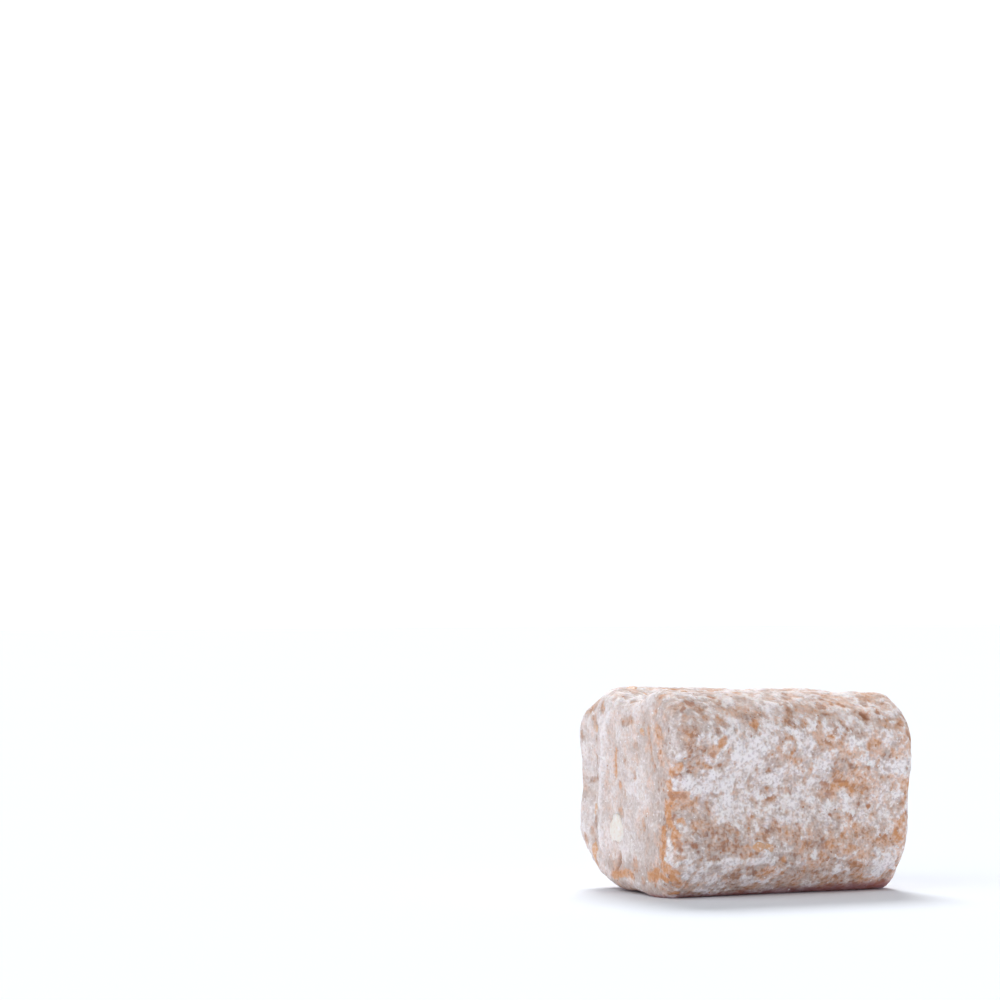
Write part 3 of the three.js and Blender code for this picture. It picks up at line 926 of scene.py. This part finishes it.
def nut_material():
    """Nut bits: roasted amber to blanched cream, a little waxy, with sugar caught on them."""
    colours = bpy.context.scene.truffle_colours
    material, tree, shader = new_material("nut")
    place = millimetres(tree)
    dust = noise_of(tree, place, size=0.35, detail=3.0)
    pale = add_pattern(tree, stored(tree, "pale"), noise_of(tree, place, size=0.7, detail=2.0), 0.5)
    nut = blend_colours(tree, ease_between(tree, pale, 0.0, 1.0), colours.nut, colours.pale_nut)
    nut = blend_colours(tree, ease_between(tree, dust, 0.52, 0.74), nut, colours.sugar)
    # painted shade between the grains, in the colour of sugared rubbed mass
    nut = blend_colours(tree, multiply(tree, pore_shade(tree, place), 0.3), nut, colours.warm_film)
    finish_shader(tree, shader, nut, roughness=0.55)
    add_bump(tree, shader, dust, strength=0.4, distance=0.05)
    let_light_in(shader, weight=0.2, radii=(1.0, 0.6, 0.3), scale=0.5)
    return material


def fleck_material():
    """Flecks of toasted nut skin, orange to rust, half under sugar."""
    colours = bpy.context.scene.truffle_colours
    material, tree, shader = new_material("nut_skin")
    place = millimetres(tree)
    tone = ease_between(tree, noise_of(tree, place, size=1.2, detail=2.0), 0.35, 0.60)
    dust = ease_between(tree, noise_of(tree, place, size=0.22, detail=2.0), 0.40, 0.70)
    skin = blend_colours(tree, tone, colours.rust, colours.warm)
    finish_shader(tree, shader, blend_colours(tree, dust, skin, colours.film), roughness=0.7)
    return material


def crumb_material():
    """Crumbs of mass, from bare to filmed over with sugar."""
    colours = bpy.context.scene.truffle_colours
    material, tree, shader = new_material("crumb")
    tone = ease_between(tree, noise_of(tree, millimetres(tree), size=0.5, detail=2.0), 0.35, 0.65)
    finish_shader(tree, shader, blend_colours(tree, tone, colours.bare, colours.film), roughness=0.8)
    return material


def floor_material():
    """A pale matt floor with a trace of tone."""
    colours = bpy.context.scene.truffle_colours
    material, tree, shader = new_material("floor")
    tone = noise_of(tree, millimetres(tree), size=60.0, detail=2.0)
    dull = [0.99 * value for value in colours.floor]
    finish_shader(tree, shader, blend_colours(tree, tone, dull, colours.floor), roughness=0.9, specular=0.1)
    return material


# ---- operators ----------------------------------------------------------------------------------

class TRUFFLE_OT_nut_mass(bpy.types.Operator):
    """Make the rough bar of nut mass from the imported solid"""

    bl_idname = "truffle.nut_mass"
    bl_label = "Nut mass"

    def execute(self, context):
        mesh = fine_copy_of_node(levels=2)
        mesh.name = SKIN_PIECE
        points = read_vectors(mesh.vertices, "co") / MM
        normals = read_vectors(mesh.vertices, "normal")
        fields, streaks = skin_fields(points, normals)
        points += normals * relief_height(points, fields, streaks)[:, None]
        points[:, 2] = np.maximum(points[:, 2], 0)
        mesh.vertices.foreach_set("co", (points * MM).ravel())
        mesh.update()
        for name in ("sugar", "warm", "toast", "hollow", "calm"):
            store(mesh, name, fields[name])
        piece = add_piece(SKIN_PIECE, mesh, nut_mass_material())
        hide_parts(NODE)
        return {"FINISHED"}


class TRUFFLE_OT_nut_bits(bpy.types.Operator):
    """Set bits of nut into the skin of the bar"""

    bl_idname = "truffle.nut_bits"
    bl_label = "Nut bits"

    def execute(self, context):
        draw = np.random.default_rng(context.scene.truffle_surface.seed)
        skin = skin_tree()
        joined = bmesh.new()
        pale = joined.verts.layers.float.new("pale")
        for bit in NUT_BITS + chance_nut_bits(draw):
            add_nut_bit(joined, skin, bit, draw, pale)
        mesh = bpy.data.meshes.new("nut_bits")
        joined.to_mesh(mesh)
        joined.free()
        add_piece("nut_bits", mesh, nut_material())
        return {"FINISHED"}


def skin_tree():
    mesh = bpy.data.objects[SKIN_PIECE].data
    places = [vert.co for vert in mesh.vertices]
    return BVHTree.FromPolygons(places, [face.vertices for face in mesh.polygons])


def place_on_skin(skin, side, at):
    """Where a straight line onto a side at that place meets the skin, and the way the skin looks there."""
    ways = SIDES[side]
    well_outside = ways["out"] * 60
    start = (ways["along"] * at[0] + ways["up"] * at[1] + well_outside) * MM
    place, normal, _, _ = skin.ray_cast(start, -ways["out"])
    if place is None:
        raise RuntimeError(f"no skin at {at} on the {side}")
    return place, normal


def chance_nut_bits(draw):
    """Nut bits for the sides that the light doesn't fall on."""
    bits = []
    for side, spans in CHANCE_NUT_BITS.items():
        for _ in range(spans["count"]):
            up = draw.uniform(*spans["up"])
            bits.append({
                "side": side,
                "at": (draw.uniform(*spans["along"]), up),
                "size": tuple(draw.uniform(0.35, 1.1) * np.array((1.0, 0.7))),
                "turn": draw.uniform(0, 180),
                "pale": draw.choice([0.0, 0.2, 1.0]),
            })
    return bits


def add_nut_bit(joined, skin, bit, draw, pale):
    """One flat, uneven bit of nut, set into the skin at its place."""
    place, normal = place_on_skin(skin, bit["side"], bit["at"])
    made = bmesh.ops.create_icosphere(joined, subdivisions=3, radius=1.0)["verts"]
    half_length, half_width = bit["size"]
    shift = Vector((draw.uniform(0, 50), 0, 0))
    for vert in made:
        ragged = 1 + NUT_BIT_RAGGED * noise.noise(vert.co * 1.6 + shift)
        flat = Vector((vert.co.x * half_length, vert.co.y * half_width, vert.co.z * NUT_BIT_HALF_THICKNESS))
        vert.co = flat * ragged * MM
        vert[pale] = bit["pale"]
    out = SIDES[bit["side"]]["out"].lerp(normal, 0.85).normalized()
    turn = turned_out(out).to_4x4() @ Matrix.Rotation(math.radians(bit["turn"]), 4, "Z")
    sunk = place - out * NUT_BIT_SUNK * MM
    bmesh.ops.transform(joined, matrix=Matrix.Translation(sunk) @ turn, verts=made)


class TRUFFLE_OT_sugar(bpy.types.Operator):
    """Scatter lumps and grains of sugar over the skin"""

    bl_idname = "truffle.sugar"
    bl_label = "Sugar"

    def execute(self, context):
        settings = context.scene.truffle_surface
        draw = np.random.default_rng(settings.seed + 1)
        material = sugar_material()
        for name, count in (("sugar_clumps", settings.clumps), ("sugar_grains", settings.grains)):
            kind = SCATTERED[name]
            lumps, faces = small_shapes(kind, settings.seed + count)
            places, normals, sugar = skin_places(count, more_where_sugared, draw)
            larger_where_sugared = np.clip(0.6 + sugar * 0.6, 0.6, 1.2)
            sizes = draw.uniform(*kind["sizes"], count) * larger_where_sugared
            add_piece(name, scatter(name, lumps, faces, places, normals, sizes, draw), material)
        return {"FINISHED"}


def more_where_sugared(sugar):
    return np.clip(sugar - 0.45, 0.02, 0.5)


def more_where_bare(sugar):
    return np.clip(0.65 - sugar, 0.01, 0.5)


class TRUFFLE_OT_crumbs(bpy.types.Operator):
    """Scatter crumbs of bare mass and flecks of nut skin where the sugar is thin"""

    bl_idname = "truffle.crumbs"
    bl_label = "Crumbs and flecks"

    def execute(self, context):
        settings = context.scene.truffle_surface
        draw = np.random.default_rng(settings.seed + 2)
        loose = (
            ("mass_crumbs", settings.crumbs, crumb_material()),
            ("skin_flecks", settings.flecks, fleck_material()),
        )
        for name, count, material in loose:
            kind = SCATTERED[name]
            lumps, faces = small_shapes(kind, settings.seed + 5)
            places, normals, _ = skin_places(count, more_where_bare, draw)
            sizes = draw.uniform(*kind["sizes"], count)
            add_piece(name, scatter(name, lumps, faces, places, normals, sizes, draw), material)
        return {"FINISHED"}


class TRUFFLE_OT_stage(bpy.types.Operator):
    """Make the floor, the light and the camera"""

    bl_idname = "truffle.stage"
    bl_label = "Stage"

    def execute(self, context):
        settings = context.scene.truffle_stage
        make_floor()
        make_white_room(settings.horizon, settings.ceiling)
        for name, light in LIGHTS.items():
            make_wide_light(name, light["towards"], light["spread"], getattr(settings, light["setting"]))
        make_camera(settings)
        context.scene.view_settings.view_transform = "Standard"
        return {"FINISHED"}


def make_floor():
    shape = bmesh.new()
    bmesh.ops.create_grid(shape, x_segments=8, y_segments=8, size=FLOOR_HALF_SIDE)
    mesh = bpy.data.meshes.new("floor")
    shape.to_mesh(mesh)
    shape.free()
    mesh.materials.append(floor_material())
    floor = bpy.data.objects.new("floor", mesh)
    bpy.context.scene.collection.objects.link(floor)


def make_white_room(horizon, ceiling):
    """A white room, bright all round at eye level and softer overhead."""
    world = bpy.data.worlds.new("white_room")
    bpy.context.scene.world = world
    world.use_nodes = True
    tree = world.node_tree
    background = next(node for node in tree.nodes if node.type == "BACKGROUND")
    background.inputs["Color"].default_value = (1, 1, 1, 1)
    way = tree.nodes.new("ShaderNodeNewGeometry")
    parts = tree.nodes.new("ShaderNodeSeparateXYZ")
    tree.links.new(way.outputs["Position"], parts.inputs["Vector"])
    rise = tree.nodes.new("ShaderNodeMapRange")
    rise.interpolation_type = "SMOOTHSTEP"
    rise.inputs["From Min"].default_value, rise.inputs["From Max"].default_value = ROOM_DARKENS
    rise.inputs["To Min"].default_value = horizon
    rise.inputs["To Max"].default_value = ceiling
    tree.links.new(parts.outputs["Z"], rise.inputs["Value"])
    tree.links.new(rise.outputs["Result"], background.inputs["Strength"])


def make_wide_light(name, towards, spread, strength):
    """Even light from one way, as soft as its spread in degrees is wide."""
    light = bpy.data.lights.new(name, "SUN")
    light.energy = strength
    light.angle = math.radians(spread)
    lamp = bpy.data.objects.new(name, light)
    lamp.location = Vector(towards).normalized()
    lamp.rotation_euler = Vector(towards).to_track_quat("Z", "Y").to_euler()
    bpy.context.scene.collection.objects.link(lamp)


def make_camera(settings):
    data = bpy.data.cameras.new("camera")
    data.lens = settings.lens
    data.sensor_width = 36
    data.clip_start = 0.01
    data.clip_end = 20
    camera = bpy.data.objects.new("camera", data)
    camera.location = settings.camera_place
    camera.rotation_euler = (math.pi / 2 + settings.camera_tilt, 0, -settings.camera_turn)
    bpy.context.scene.collection.objects.link(camera)
    bpy.context.scene.camera = camera


class VIEW3D_PT_truffle(bpy.types.Panel):
    """Lists the pieces of the truffle and their settings."""

    bl_label = "Truffle"
    bl_space_type = "VIEW_3D"
    bl_region_type = "UI"
    bl_category = "Truffle"

    def draw(self, context):
        for operator in OPERATORS:
            self.layout.operator(operator.bl_idname)
        for group_name in PROPERTY_GROUPS:
            group = getattr(context.scene, group_name)
            for setting in group.__annotations__:
                self.layout.prop(group, setting)


PROPERTY_GROUPS = {
    "truffle_surface": TruffleSurface,
    "truffle_colours": TruffleColours,
    "truffle_stage": TruffleStage,
}
OPERATORS = (
    TRUFFLE_OT_nut_mass,
    TRUFFLE_OT_nut_bits,
    TRUFFLE_OT_sugar,
    TRUFFLE_OT_crumbs,
    TRUFFLE_OT_stage,
)
CLASSES = (*PROPERTY_GROUPS.values(), *OPERATORS, VIEW3D_PT_truffle)


def register():
    for made in CLASSES:
        bpy.utils.register_class(made)
    for name, group in PROPERTY_GROUPS.items():
        setattr(bpy.types.Scene, name, PointerProperty(type=group))


def unregister():
    for name in PROPERTY_GROUPS:
        delattr(bpy.types.Scene, name)
    for made in reversed(CLASSES):
        bpy.utils.unregister_class(made)


def main():
    register()
    bpy.ops.truffle.nut_mass()
    bpy.ops.truffle.nut_bits()
    bpy.ops.truffle.sugar()
    bpy.ops.truffle.crumbs()
    bpy.ops.truffle.stage()


if __name__ == "__main__":
    main()
